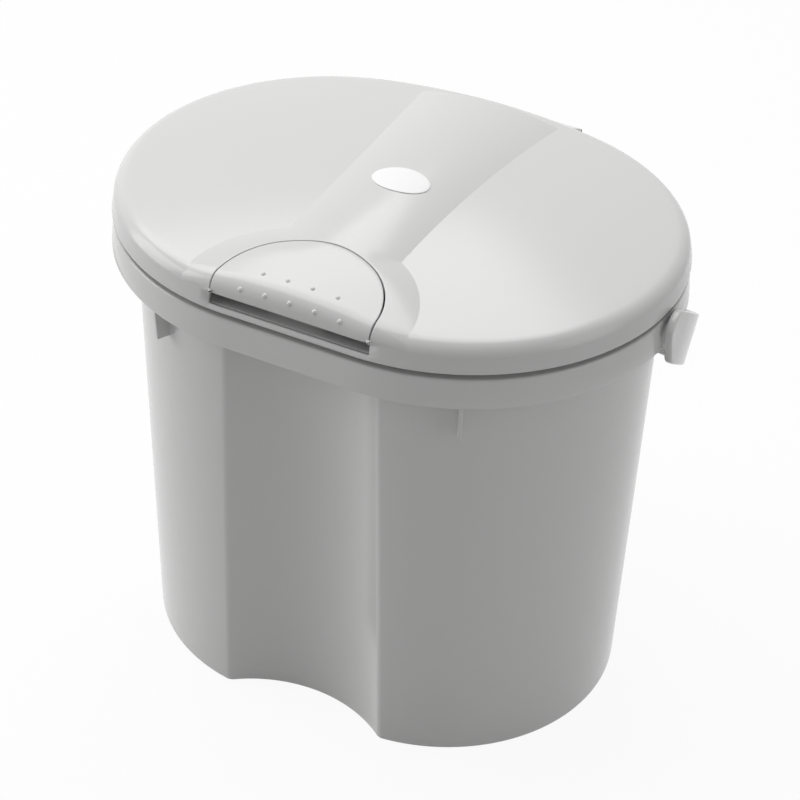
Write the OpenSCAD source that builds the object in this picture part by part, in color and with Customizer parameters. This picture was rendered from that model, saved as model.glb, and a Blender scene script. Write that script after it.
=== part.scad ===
// Nappy bin: an oval bucket with a bag ring, a hinged lid with a press button latch
// and a swing handle. Millimetres, +Z up, front towards -Y.
// Origin: on the floor, between the centres of the two end arcs.

/* [Oval outline] */
// Half of the straight run along the front of the rim
flat_half = 37; // [28:1:46]
// Radius of both ends of the rim
end_r = 123; // [112:1:134]
// Radius of the long curve along the back of the rim
back_r = 280; // [240:5:340]

/* [Bucket] */
// Height of the rim above the floor
rim_z = 273; // [230:1:310]
// Height of the rim skirt
skirt_h = 17; // [16:0.5:22]
// How far the skirt leans outwards down to its lower edge
skirt_lean = 1.2; // [0.4:0.2:2.4]
// Thickness of the bucket wall
wall = 2.4; // [1.8:0.1:3]
// Thickness of the bucket floor
floor_t = 3; // [2:0.2:4]
// How far the bucket wall stands inside the rim, at its top
top_inset = 12; // [10:0.5:14]
// How far the bucket wall stands inside the rim, at the floor
base_inset = 19.7; // [16:0.5:24]
// Height of the rounding under the floor edge
base_round = 1.6; // [1:0.2:3]
// Radius of the hollow down the front
hollow_r = 80; // [70:1:100]
// Depth of the hollow at the top
hollow_top = 14; // [10:0.5:17]
// Depth of the hollow at the floor
hollow_base = 17.5; // [12:0.5:20]
// Radius of the rounded edges beside the hollow
hollow_edge_r = 6; // [4:0.5:9]

/* [Stacking lugs] */
// How far a lug stands out from the wall
lug_reach = 7.5; // [5:0.5:9]
// Length of a lug below the skirt
lug_drop = 25; // [15:1:35]
// Thickness of a lug
lug_t = 2; // [1.4:0.2:3]
// Angle of the lugs away from the front or back of an end arc
lug_angle = 27; // [20:1:34]

/* [Bag ring] */
// Width of the ring's flange on the rim
ring_flange = 6; // [4.5:0.5:7]
// Thickness of the ring
ring_t = 1.8; // [1.4:0.1:2.2]
// Depth of the ring's collar inside the bucket
ring_depth = 13; // [8:1:20]

/* [Lid] */
// Height of the gap between rim and lid edge
lid_gap = 3.7; // [3.2:0.1:5]
// Height of the lid's side, from its lower edge to its top edge
lid_side_h = 15; // [13:0.5:18]
// Radius of the lid's rounded top edge
lid_round = 8; // [5:0.5:10]
// Thickness of the lid shell
lid_t = 2.2; // [1.8:0.1:2.8]
// Overhang of the lid edge past the rim edge
lid_over = 0.6; // [0:0.1:1.5]
// How far the lid's side leans in, from its lower edge to its rounding
lid_lean = 1.2; // [0.4:0.1:2.4]
// Rise of the lid from its edge to its middle
lid_crown = 6; // [3:0.5:9]
// Rise of the lid's edge from its middle to its front
lid_tilt = 1.5; // [0:0.25:3]

/* [Lid spine] */
// Half width of the spine where it is narrowest
waist_half = 33; // [28:0.5:37]
// Half width of the spine at the hinge
hinge_half = 42.7; // [39:0.5:46]
// Height of the spine above the lid beside it
spine_rise = 5; // [3:0.25:6]
// Radius of the raised field round the button
field_r = 64; // [60:0.5:68]
// How far the spine runs on sideways under the lid's top
spine_dip = 1.2; // [0.6:0.2:2]
// Where the spine starts to slope down to the hinge, behind the middle
hood_start = 111; // [100:1:114]
// Distance of the hood's rear edge behind the rim
hood_reach = 19.6; // [18.5:0.1:20.5]
// Depth of the hood's rear edge below the rim
hood_fall = 0.6; // [0:0.2:1.2]
// Height of the hood's rear lip
hood_lip = 5; // [4:0.25:5.5]
// Thickness of the hood
hood_t = 2.6; // [2.2:0.1:3]

/* [Button] */
// Radius of the round end of the button
button_r = 45.6; // [42:0.2:46]
// Distance of the round end's centre behind the lid's front
button_back = 5.5; // [4:0.5:8]
// Gap round the button
button_gap = 0.9; // [0.6:0.1:1.2]
// Rounding of the button's front edge
button_round = 9; // [6:0.5:12]
// Height of the slot below the button's front edge
slot_h = 7; // [6.6:0.2:8]
// Height of the sill below the slot
sill_h = 3; // [2.4:0.2:4]
// Thickness of the button's shell
button_t = 2; // [1.6:0.1:2.4]
// Radius of a grip dot
dot_r = 1.5; // [1:0.1:2]
// Distance between grip dots
dot_pitch = 14.3; // [12:0.1:17]
// Angle that the button turns when pressed
press_angle = 5.5; // [4:0.5:6]

/* [Latch] */
// Width of the latch hook
hook_w = 30; // [20:1:36]
// Thickness of the hook's arm
hook_t = 3; // [2:0.2:4]
// How far the hook's nose reaches under the rim
hook_bite = 1.6; // [1.2:0.1:1.8]
// Height of the hook's nose
hook_nose = 4.5; // [3.5:0.25:6]
// Radius of the button's pin
button_pin_r = 1.5; // [1.2:0.1:2]
// Height of the pin above the button's lower edge
pin_rise = 3; // [2.5:0.25:5]
// Distance of the pin in front of the button's rear edge
pin_fwd = 10; // [8:0.5:12]
// Thickness of the ears and lugs on the pin
ear_t = 4; // [3:0.25:5]
// Width of the tabs that stop the button under the lid
tab_w = 8; // [5:0.5:12]
// How far a tab reaches under the lid
tab_reach = 2.5; // [1.5:0.25:4]
// Thickness of a tab
tab_t = 2; // [1.5:0.25:3]

/* [Return spring] */
// Radius of the coil, to the outside of its wire
spring_r = 5; // [4:0.25:6]
// Thickness of the wire
spring_wire = 0.9; // [0.6:0.1:1.2]
// Number of turns
spring_turns = 5; // [3:1:7]
// Distance of the coil in front of the button's pin
spring_fwd = 14; // [10:0.5:18]

/* [Hinge] */
// Radius of the hinge knuckles
knuckle_r = 5.5; // [5:0.1:6]
// Radius of the hinge pin
hinge_pin_r = 2; // [1.5:0.1:2.5]
// Distance of the hinge axis behind the rim
hinge_back = 10; // [9.4:0.1:10.6]
// Depth of the hinge axis below the rim
hinge_drop = 7.5; // [7:0.25:8.5]
// Side gap between knuckles
knuckle_gap = 0.5; // [0.3:0.1:0.8]
// Angle that the lid opens through
open_angle = 105; // [95:1:108]

/* [Handle] */
// Gap between the skirt's edge and the handle's band
hoop_gap = 0.6; // [0.5:0.1:3]
// Thickness of the handle's band
band_t = 4.4; // [4.2:0.1:6]
// Width of the handle's band
band_w = 28.6; // [24:0.2:30]
// Straight length of the band behind its pivot
arm = 6; // [4:0.5:8]
// Length of the band past its pivot
tail = 12.3; // [11.5:0.1:14]
// Length of the curve at the top of the band's end
tail_round = 8.8; // [6:0.2:10]
// Height of the end's tip above the middle of the band
tip_up = 2.5; // [0:0.5:5]
// Angle of the hoop that each end takes in
end_turn = 12; // [9:3:18]
// Distance of the pivots in front of the middle
pivot_fwd = 5.5; // [0:0.5:8]
// Depth of the pivots below the rim
pivot_drop = 11.5; // [10:0.1:12]
// Radius of a pivot peg
peg_r = 3.2; // [2.8:0.1:3.4]
// Step of a snap head past its peg
snap = 0.8; // [0.5:0.1:1]
// Depth of the socket in the band that takes the boss
socket_t = 2; // [1.9:0.1:2.4]
// Angle of the folded handle below level
stow_angle = 34.6; // [30:0.2:38]
// Angle that the handle swings through
swing_angle = 200; // [130:5:220]
// Depth of the step that stops the handle
stop_t = 1.8; // [1.4:0.1:2]
// Half of the angle that the handle's stop lug takes
stop_half = 12; // [8:1:16]

/* [Fits] */
// Clearance round a turning pin
pin_clear = 0.08; // [0.05:0.01:0.1]
// Clearance between parts that seat on each other
seat_gap = 0.25; // [0.2:0.05:0.35]
// Clearance round a part that is lifted out
free_gap = 0.8; // [0.5:0.1:1.2]

/* [Lid liner] */
// Thickness of the liner
liner_t = 2; // [1.6:0.1:2.4]
// Height of the liner above the lid's lower edge
liner_rise = 1.3; // [1:0.1:1.6]
// Depth of the liner's collar below the rim
plug_depth = 1.5; // [0:0.5:6]
// Width of the seal
seal_w = 3.6; // [2.6:0.2:4.4]
// Radius of the posts that carry the liner
post_r = 3; // [2:0.5:5]

/* [Label] */
// Length of the blank oval label
label_l = 33; // [24:1:40]
// Width of the blank oval label
label_w = 24; // [16:1:28]
// Thickness of the label
label_t = 0.4; // [0.3:0.1:0.6]

/* [Hidden] */
eps = 0.01;
grey = [0.80, 0.80, 0.80];

// Steps along each stretch of the oval, for half of the outline
n_hollow = 6;
n_edge = 3;
n_end = 16;
n_back = 7;

// Oval: where the end arcs meet the back arc
meet = acos(flat_half / (back_r - end_r));
back_c = -(back_r - end_r) * sin(meet);
rim_back = back_r + back_c;
rim_side = flat_half + end_r;

// Height of the lid's lower edge and of the button's lower edge
lid_z = rim_z + lid_gap;
lip_z = lid_z + sill_h + slot_h;

// ---- Outlines -------------------------------------------------------------

// Points of an arc about c, from angle a0 to a1, without its last point
function arc(c, r, a0, a1, n) =
    [for (i = [0 : n - 1]) let (a = a0 + (a1 - a0) * i / n) c + r * [cos(a), sin(a)]];

// Right half of the plain oval at inset d, from the middle of the front to the middle of the back
function plain_half(d) = concat(
    [for (i = [0 : n_hollow + n_edge - 1]) [flat_half * i / (n_hollow + n_edge), d - end_r]],
    arc([flat_half, 0], end_r - d, -90, meet, n_end),
    arc([0, back_c], back_r - d, meet, 90, n_back),
    [[0, back_c + back_r - d]]);

// Centre of the rounded edge beside the hollow: it touches the end arc and the hollow's circle
function edge_centre(d, hr, yc, er) =
    let (ra = end_r - d - er,
         rb = hr + er,
         e = [flat_half, 0],
         q = [0, yc],
         l = norm(q - e),
         a = (ra * ra - rb * rb + l * l) / (2 * l),
         h = sqrt(ra * ra - a * a),
         u = (q - e) / l,
         c = e + a * u - h * [u[1], -u[0]])
    c[0] >= flat_half ? c : [sqrt(rb * rb - pow(ra + yc, 2)), -ra];

// Right half of the oval with the hollow of the given depth, at inset d. A thickness t moves
// the outline inwards by that much.
function hollow_half(d, depth, t) =
    let (hr = hollow_r + t,
         er = max(hollow_edge_r - t, 1),
         yc = depth - end_r + d - t - hollow_r,
         c = edge_centre(d, hr, yc, er),
         to_q = [0, yc] - c,
         out = c[0] >= flat_half ? c - [flat_half, 0] : [0, -1],
         a_q = atan2(to_q[1], to_q[0]),
         a_out = atan2(out[1], out[0]),
         a_hollow = atan2(-to_q[1], -to_q[0]))
    concat(
        arc([0, yc], hr, 90, a_hollow, n_hollow),
        arc(c, er, a_q, a_out, n_edge),
        arc([flat_half, 0], end_r - d, max(a_out, -90), meet, n_end),
        arc([0, back_c], back_r - d, meet, 90, n_back),
        [[0, back_c + back_r - d]]);

// Whole outline from its right half
function whole(half) = concat(half, [for (i = [len(half) - 2 : -1 : 1]) [-half[i][0], half[i][1]]]);

// Inset of the bucket wall, and depth of its hollow, at height z
function wall_inset(z) = base_inset + (top_inset - base_inset) * z / rim_z;
function hollow_depth(z) = hollow_base + (hollow_top - hollow_base) * z / rim_z;

// Flat rings of 3D points
function plain_ring(d, z) = [for (p = whole(plain_half(d))) [p[0], p[1], z]];
function wall_ring(d, z, t = 0, at = undef) =
    let (h = is_undef(at) ? z : at)
    [for (p = whole(hollow_half(d + t, hollow_depth(h), t))) [p[0], p[1], z]];

// ---- Lofts ----------------------------------------------------------------

// Closed solid through rings of equal length, with a point closing each end
module loft(rings, first, last) {
    n = len(rings[0]);
    m = len(rings);
    pts = concat([first], [for (r = rings) each r], [last]);
    sides = [for (j = [0 : m - 2]) for (i = [0 : n - 1])
        let (a = 1 + j * n + i,
             b = 1 + j * n + (i + 1) % n)
        each [[a, b, b + n], [a, b + n, a + n]]];
    start = [for (i = [0 : n - 1]) [0, 1 + (i + 1) % n, 1 + i]];
    end = [for (i = [0 : n - 1]) let (k = 1 + (m - 1) * n) [k + i, k + (i + 1) % n, m * n + 1]];
    polyhedron(points = pts, faces = [for (f = concat(sides, start, end)) [f[2], f[1], f[0]]]);
}

// Closed band between rings, where the last ring joins the first again
module loft_band(rings) {
    n = len(rings[0]);
    m = len(rings);
    pts = [for (r = rings) each r];
    faces = [for (j = [0 : m - 1]) for (i = [0 : n - 1])
        let (a = j * n + i,
             b = j * n + (i + 1) % n,
             c = ((j + 1) % m) * n + (i + 1) % n,
             d = ((j + 1) % m) * n + i)
        each [[c, b, a], [d, c, a]]];
    polyhedron(points = pts, faces = faces);
}

// ---- Bucket ---------------------------------------------------------------

skirt_z = rim_z - skirt_h;
hinge_y = rim_back + hinge_back;
hinge_z = rim_z - hinge_drop;
pivot_z = rim_z - pivot_drop;
stop_r = peg_r + wall / 2 + 0.5;
boss_r = stop_r + 3;
hoop_r = rim_side + skirt_lean + hoop_gap;
socket_x = hoop_r + socket_t;
skirt_x = rim_side + skirt_lean * pivot_drop / skirt_h;

// Side of the rim's oval at a distance y from the middle, at a depth below the rim and moved in by t
function skirt_side(y, drop, t) =
    flat_half + sqrt(pow(end_r + skirt_lean * drop / skirt_h - t, 2) - y * y);
skirt_in = skirt_side(pivot_fwd + peg_r + snap, pivot_drop - peg_r - snap, wall);

// Latch window through the rim, in front of the hollow
window_front = -(end_r - 10);
window_depth = 9.5;
window_w = hook_w + 2 * free_gap + 2;

// Hinge knuckles: three on the bucket, two on the lid, all under the hood
knuckle_span = hinge_half - hood_t - seat_gap;
knuckle_w = 2 * knuckle_span / 5;

module bucket_shell() {
    z_under = rim_z - wall;
    inner_floor = wall_inset(floor_t);
    rings = [
        wall_ring(wall_inset(0) + base_round, 0),
        wall_ring(wall_inset(0) + base_round * 0.3, base_round * 0.3),
        wall_ring(wall_inset(base_round), base_round),
        wall_ring(wall_inset(rim_z / 3), rim_z / 3),
        wall_ring(wall_inset(rim_z * 2 / 3), rim_z * 2 / 3),
        wall_ring(wall_inset(z_under), z_under),
        plain_ring(wall - skirt_lean * 0.1, z_under),
        plain_ring(wall - skirt_lean, skirt_z),
        plain_ring(-skirt_lean, skirt_z),
        plain_ring(0, rim_z - 1.5),
        plain_ring(0.4, rim_z - 0.4),
        plain_ring(1.5, rim_z),
        wall_ring(wall_inset(rim_z), rim_z, wall),
        wall_ring(wall_inset(rim_z * 2 / 3), rim_z * 2 / 3, wall),
        wall_ring(wall_inset(rim_z / 3), rim_z / 3, wall),
        wall_ring(inner_floor, floor_t + 3, wall),
        wall_ring(inner_floor + 0.9, floor_t + 0.9, wall),
        wall_ring(inner_floor + 3, floor_t, wall),
    ];
    loft(rings, [0, 0, 0], [0, 0, floor_t]);
}

// One stacking lug on an end arc: a thin upright plate under the rim
module stacking_lug(side, front) {
    low = skirt_z - lug_drop;
    r_low = end_r - wall_inset(low);
    r_top = end_r - wall;
    spin = front ? -90 + lug_angle : 90 - lug_angle - (90 - meet) * 0.2;
    translate([side * flat_half, 0, 0])
        rotate([0, 0, side > 0 ? spin : 180 - spin])
            rotate([90, 0, 0])
                linear_extrude(lug_t, center = true)
                    polygon([
                        [r_low - wall / 2, low],
                        [r_low + lug_reach, low],
                        [r_top - 1.5, skirt_z + 2],
                        [r_top - 1.5, rim_z - wall / 2],
                        [r_low - wall / 2 + 0.8, rim_z - wall / 2],
                    ]);
}

// Ring section on a pivot's axis, from radius r0 to r1 and between two angles.
// Angle 0 is level to the back and 90 is upright.
module pivot_sector(side, x0, x1, r0, r1, a0, a1) {
    translate([side > 0 ? x0 : -x1, -pivot_fwd, pivot_z])
        rotate([90, 0, 90])
            rotate([0, 0, a0])
                rotate_extrude(angle = a1 - a0, $fn = 64)
                    translate([r0, 0])
                        square([r1 - r0, x1 - x0]);
}

// Round boss for a handle peg. A track in its face leaves a step that stops the handle's lug
// at both ends.
module pivot_boss(side) {
    difference() {
        translate([side * (skirt_x - wall / 2), -pivot_fwd, pivot_z])
            rotate([0, side * 90, 0])
                cylinder(h = socket_x - skirt_x + wall / 2 - seat_gap, r = boss_r, $fn = 64);
        pivot_sector(side, socket_x - seat_gap - stop_t, socket_x, stop_r, boss_r + wall,
            -stow_angle - stop_half, swing_angle - stow_angle + stop_half);
    }
}

// Point of the lid's side view, turned backwards with the lid by angle a
function opened(p, a) =
    let (d = p - [hinge_y, hinge_z])
    [hinge_y + d[0] * cos(a) + d[1] * sin(a), hinge_z - d[0] * sin(a) + d[1] * cos(a)];

// Bucket knuckle, whose foot has a slanted face that stops the open lid at its rear lip
module hinge_bracket(x0, w) {
    front = back_c + sqrt(back_r * back_r - knuckle_span * knuckle_span) - wall / 2;
    lip_in = opened([hood_y - hood_t, hood_z - hood_lip], open_angle + 0.5);
    lip_out = opened([hood_y, hood_z - hood_lip], open_angle + 0.5);
    translate([x0, 0, 0])
        rotate([90, 0, 90])
            linear_extrude(w)
                union() {
                    translate([hinge_y, hinge_z])
                        circle(r = knuckle_r, $fn = 48);
                    polygon([
                        [front, hinge_z], [hinge_y, hinge_z], lip_in, lip_out,
                        [front, lip_out[1]],
                    ]);
                }
}

module bucket() {
    color(grey)
    difference() {
        union() {
            bucket_shell();
            for (side = [-1, 1]) {
                stacking_lug(side, true);
                stacking_lug(side, false);
                pivot_boss(side);
            }
            for (i = [-1, 0, 1])
                hinge_bracket((2 * i - 0.5) * knuckle_w + knuckle_gap / 2, knuckle_w - knuckle_gap);
        }
        // Bore through the hinge knuckles
        translate([-rim_side, hinge_y, hinge_z])
            rotate([0, 90, 0])
                cylinder(h = 2 * rim_side, r = hinge_pin_r + pin_clear, $fn = 48);
        // Bores for the handle pegs
        for (side = [-1, 1])
            translate([side * (skirt_x - 2 * wall), -pivot_fwd, pivot_z])
                rotate([0, side * 90, 0])
                    cylinder(h = 2 * wall + socket_x - skirt_x, r = peg_r + pin_clear, $fn = 48);
        // Latch window
        translate([-window_w / 2, window_front, rim_z - wall - 1])
            cube([window_w, window_depth, wall + 2]);
    }
}

// ---- Bag ring -------------------------------------------------------------

// The collar follows the inside of the bucket and the flange lies on the rim
module bag_ring() {
    z_top = rim_z + seat_gap + ring_t;
    z_low = rim_z - ring_depth;
    d_top = wall_inset(rim_z);
    d_low = wall_inset(z_low);
    gap = wall + seat_gap * 2;
    color(grey)
    loft_band([
        wall_ring(d_top, z_top, gap + ring_t),
        wall_ring(d_low, z_low, gap + ring_t, z_low),
        wall_ring(d_low, z_low, gap, z_low),
        wall_ring(d_top, rim_z + seat_gap, gap, rim_z),
        wall_ring(d_top, rim_z + seat_gap, wall - ring_flange, rim_z),
        wall_ring(d_top, z_top, wall - ring_flange, rim_z),
    ]);
}

// ---- Lid surfaces ---------------------------------------------------------

button_y = button_back - end_r;
spine_join = button_y + sqrt(field_r * field_r - waist_half * waist_half);
hood_y = rim_back + hood_reach;
hood_z = rim_z - hood_fall;
face_r = end_r + lid_over - lid_lean;

// Height of the lid's top beside the spine
function top_z(x, y) =
    lid_z + lid_side_h - lid_tilt * y / end_r
        + lid_crown * (1 - pow(x / rim_side, 2) - pow(y / end_r, 2));

// Half width of the spine: the field round the button, the waist, then wider to the hinge
function spine_half(y) =
    y < button_y ? field_r
    : y < spine_join ? sqrt(field_r * field_r - pow(y - button_y, 2))
    : waist_half + (hinge_half - waist_half) * pow((y - spine_join) / (hood_start - spine_join), 2);

// Height of the spine's arched top
function spine_z(x, y) = top_z(x, y) + spine_rise * (1 - pow(x / spine_half(y), 2));

// Height of the hood's top: from the end of the spine straight down to the rear edge
function hood_top(x, y) =
    let (k = (y - hood_start) / (hood_y - hood_start))
    spine_z(x, hood_start) * (1 - k) + hood_z * k;

// Drop of an edge rounded with radius r, at distance e in from its face
function roll(e, r) = e >= r ? 0 : r - sqrt(max(r * r - pow(r - e, 2), 0));

// Distances in from a face rounded with radius r, closer together where it is steep
function roll_steps(r) = [for (a = [0, 22, 45, 67, 90]) r * (1 - cos(a))];

// Place at distance e behind the lid's front face, which curves back beside its straight run
function behind(x, e) =
    let (q = max(abs(x) - flat_half, 0))
    e - face_r + (face_r - sqrt(face_r * face_r - q * q)) * max(1 - e / (2 * button_back + 20), 0);

// Even steps from -half to half
function across(half, n = 12) = [for (i = [0 : n]) half * (2 * i / n - 1)];

// Solid through sections that each hold a row of upper points, then the same row of lower
// points in reverse
module ridge(sections) {
    n = len(sections[0]);
    h = n / 2;
    m = len(sections);
    pts = [for (r = sections) each r];
    sides = [for (j = [0 : m - 2]) for (i = [0 : n - 1])
        let (a = j * n + i,
             b = j * n + (i + 1) % n)
        each [[b + n, b, a], [a + n, b + n, a]]];
    ends = [for (i = [0 : h - 2])
        let (a = i, b = i + 1, c = n - 2 - i, d = n - 1 - i, k = (m - 1) * n)
        each [[a, b, c], [a, c, d], [k + c, k + b, k + a], [k + d, k + c, k + a]]];
    polyhedron(points = pts, faces = concat(sides, ends));
}

// Section from a row of upper points and a row of lower points
function section(top, low) = concat(top, [for (i = [len(low) - 1 : -1 : 0]) low[i]]);

// Rows across the lid at distance e behind its front face: on the spine's top lowered by t and
// rounded with radius r at the front, inside the lid's skin, or level at height z
function spine_row(e, half, t, r) =
    [for (x = across(half)) let (y = behind(x, e)) [x, y, spine_z(x, y) - t - roll(e - t, r)]];
function skin_row(e, half) =
    [for (x = across(half)) let (y = behind(x, e))
        [x, y, top_z(x, y) - lid_t / 2 - roll(e, lid_round)]];
function level_row(e, half, z) = [for (x = across(half)) [x, behind(x, e), z]];
function hood_section(y, half, up, down) =
    let (xs = across(half))
    concat(
        [for (x = xs) [x, y, hood_top(x, y) + up]],
        [for (i = [len(xs) - 1 : -1 : 0]) [xs[i], y, hood_top(xs[i], y) - down]]);

// ---- Lid shell ------------------------------------------------------------

// Rings of the lid: at inset d from its lower edge, or as a share k of its flat top
function lid_half(d) = concat(
    [for (i = [0 : 2]) [flat_half * i / 3, d - lid_over - end_r]],
    arc([flat_half, 0], end_r - d + lid_over, -90, meet, n_end),
    arc([0, back_c], back_r - d + lid_over, meet, 90, n_back),
    [[0, back_c + back_r - d + lid_over]]);
function lid_ring(d, h) = [for (p = whole(lid_half(d))) [p[0], p[1], top_z(p[0], p[1]) - h]];
function lid_flat_ring(d, z) = [for (p = whole(lid_half(d))) [p[0], p[1], z]];
function lid_panel_ring(k, h) =
    [for (p = whole(lid_half(lid_lean + lid_round)))
        [p[0] * k, p[1] * k, top_z(p[0] * k, p[1] * k) - h]];

module lid_skin() {
    panel = [0.2, 0.45, 0.7, 0.88];
    round_in = lid_round - lid_t;
    top = top_z(0, 0);
    loft(concat(
        [for (k = panel) lid_panel_ring(k, lid_t)],
        [for (a = [90, 45, 0])
            lid_ring(lid_lean + lid_round - round_in * cos(a), lid_round - round_in * sin(a))],
        [lid_flat_ring(lid_t, lid_z), lid_flat_ring(0, lid_z)],
        [for (a = [0 : 22.5 : 90])
            lid_ring(lid_lean + lid_round * (1 - cos(a)), lid_round * (1 - sin(a)))],
        [for (i = [len(panel) - 1 : -1 : 0]) lid_panel_ring(panel[i], 0)]),
        [0, 0, top - lid_t], [0, 0, top]);
}

// Distances behind the front face for the rows of the spine, up to the last one
function spine_steps(last) =
    let (join = spine_join + face_r)
    concat(
        [for (i = [1 : 5]) lid_round + (join - lid_round) * i / 5],
        [for (i = [1 : 6]) join + (last - join) * i / 6]);

// The raised spine, from the field round the button to the hood
module spine() {
    ridge([for (e = concat(roll_steps(lid_round), spine_steps(hood_start + face_r)))
        let (half = spine_half(e - face_r) + spine_dip)
        section(spine_row(e, half, 0, lid_round), skin_row(e, half))]);
}

// Space inside the spine, so that its wall stays even
module spine_hollow() {
    ridge([for (e = concat([lid_t, 2 * lid_t, lid_round], spine_steps(hood_start + face_r - hood_t)))
        let (half = spine_half(e - face_r) - lid_t)
        section(spine_row(e, half, lid_t, lid_round - lid_t), level_row(e, half, lid_z + sill_h))]);
}

// Cover over the hinge: a sloping plate with a rear lip, between two upright cheeks
module hood() {
    cheek_r = hinge_back - skirt_lean - 1;
    cheek_z = lid_z + sill_h / 4;
    front = back_c + sqrt(back_r * back_r - hinge_half * hinge_half) - lid_t / 2;
    inside = hinge_half - hood_t / 2;
    rise = hood_t / 20;
    ridge([hood_section(hood_start - hood_t / 2, inside, 0, hood_t),
           hood_section(hood_y, inside, 0, hood_t)]);
    translate([-inside, hood_y - hood_t, hood_z - hood_lip])
        cube([2 * inside, hood_t - eps, hood_lip]);
    for (x = [-hinge_half, hinge_half - hood_t])
        translate([x, 0, 0])
            rotate([90, 0, 90])
                linear_extrude(hood_t)
                    polygon(concat(
                        [[front, cheek_z], [hinge_y - cheek_r, cheek_z]],
                        arc([hinge_y, hinge_z], cheek_r, 180, 310, 8),
                        [[hood_y, hood_z - hood_lip], [hood_y, hood_z + rise],
                         [front, hood_top(hinge_half, front) + rise]]));
}

// Lid knuckle, hung from the hood
module lid_knuckle(x0, w) {
    d = knuckle_r * 0.8;
    translate([x0, 0, 0])
        rotate([90, 0, 90])
            linear_extrude(w)
                union() {
                    translate([hinge_y, hinge_z])
                        circle(r = knuckle_r, $fn = 48);
                    polygon([
                        [hinge_y - d, hinge_z],
                        [hinge_y + d, hinge_z],
                        [hinge_y + d, hood_top(hinge_half, hinge_y + d) - hood_t / 2],
                        [hinge_y - d, hood_top(hinge_half, hinge_y - d) - hood_t / 2],
                    ]);
                }
}

// Pin of the button, its ears under the lid and its lugs under the button
pin_y = button_y + button_r - pin_fwd;
pin_z = lip_z + pin_rise;
ear_r = button_pin_r + 2.5;
lug_r = button_pin_r + 2;
ear_in = sqrt(pow(button_r + button_gap, 2) - pow(button_r - pin_fwd - ear_r, 2)) + seat_gap;
lug_out = sqrt(pow(button_r, 2) - pow(button_r - pin_fwd + lug_r, 2)) - seat_gap;

// Upright plate round the pin, with height h above it
module pin_plate(x0, r, h) {
    translate([x0, pin_y, pin_z])
        rotate([90, 0, 90])
            linear_extrude(ear_t)
                union() {
                    circle(r = r, $fn = 32);
                    translate([-r, 0])
                        square([2 * r, h]);
                }
}

module pin_bore() {
    translate([-ear_in - ear_t, pin_y, pin_z])
        rotate([0, 90, 0])
            cylinder(h = 2 * (ear_in + ear_t), r = button_pin_r + pin_clear, $fn = 32);
}

// Space of the button: a round end with straight sides towards the front
module button_space(r, z_low, z_high) {
    translate([0, 0, z_low])
        linear_extrude(z_high - z_low)
            polygon(concat(
                [[-r, button_y], [-r, button_y - end_r], [r, button_y - end_r]],
                arc([0, button_y], r, 0, 180, 36)));
}

liner_z = lid_z + liner_rise;
post_x = rim_side * 0.62;
post_y = end_r * 0.45;

module lid_shell() {
    ear_top = spine_z(ear_in + ear_t / 2, pin_y) - lid_t / 2 - pin_z;
    color(grey)
    difference() {
        union() {
            difference() {
                union() {
                    lid_skin();
                    spine();
                }
                spine_hollow();
                ridge([hood_section(hood_start, hinge_half - hood_t / 4, 3 * spine_rise, 0),
                       hood_section(hood_y, hinge_half - hood_t / 4, 3 * lid_round, 0)]);
            }
            hood();
            for (i = [-1, 1])
                lid_knuckle((i - 0.5) * knuckle_w + knuckle_gap / 2, knuckle_w - knuckle_gap);
            for (x = [-ear_in - ear_t, ear_in])
                pin_plate(x, ear_r, ear_top);
            // Posts that carry the liner
            for (x = [-post_x, post_x])
                for (y = [-post_y, post_y])
                    translate([x, y, liner_z + liner_t])
                        cylinder(h = top_z(x, y) - lid_t / 2 - liner_z - liner_t, r = post_r, $fn = 24);
        }
        button_space(button_r + button_gap, lid_z + sill_h, rim_z * 2);
        translate([-knuckle_span, hinge_y, hinge_z])
            rotate([0, 90, 0])
                cylinder(h = 2 * knuckle_span, r = hinge_pin_r + pin_clear, $fn = 48);
        pin_bore();
    }
}

// ---- Lid liner, seal and label --------------------------------------------

ring_top = rim_z + seat_gap + ring_t;
collar_in = wall + 2 * seat_gap + ring_t;
hook_y = window_front + 0.4;
spring_y = pin_y - spring_fwd;

// Inner plate of the lid, with a collar that reaches into the bag ring
module lid_liner() {
    edge = lid_t - lid_over + lid_lean / 2 + seat_gap;
    gap = collar_in + 2 * free_gap;
    d = wall_inset(rim_z);
    color(grey)
    difference() {
        union() {
            translate([0, 0, liner_z])
                linear_extrude(liner_t)
                    polygon(whole(plain_half(edge)));
            loft_band([
                wall_ring(d, liner_z + liner_t / 2, gap + liner_t, rim_z),
                wall_ring(d, rim_z - plug_depth, gap + liner_t, rim_z),
                wall_ring(d, rim_z - plug_depth, gap, rim_z),
                wall_ring(d, liner_z + liner_t / 2, gap, rim_z),
            ]);
            translate([0, spring_y, liner_z])
                cylinder(h = liner_t + 4, r = spring_r - spring_wire - seat_gap, $fn = 32);
        }
        // Slot for the latch hook
        translate([-window_w / 2, hook_y - hook_bite - free_gap, liner_z - 1])
            cube([window_w, hook_t + hook_bite + 4 * free_gap, liner_t + 2]);
    }
}

module lid_seal() {
    d = wall_inset(rim_z);
    low = ring_top + seat_gap;
    inner = wall - 1;
    edge = seal_w / 5;
    color([0.35, 0.35, 0.36])
    loft_band([
        wall_ring(d, liner_z, inner, rim_z),
        wall_ring(d, low + edge, inner, rim_z),
        wall_ring(d, low, inner - edge, rim_z),
        wall_ring(d, low, inner - seal_w + edge, rim_z),
        wall_ring(d, low + edge, inner - seal_w, rim_z),
        wall_ring(d, liner_z, inner - seal_w, rim_z),
    ]);
}

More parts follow.
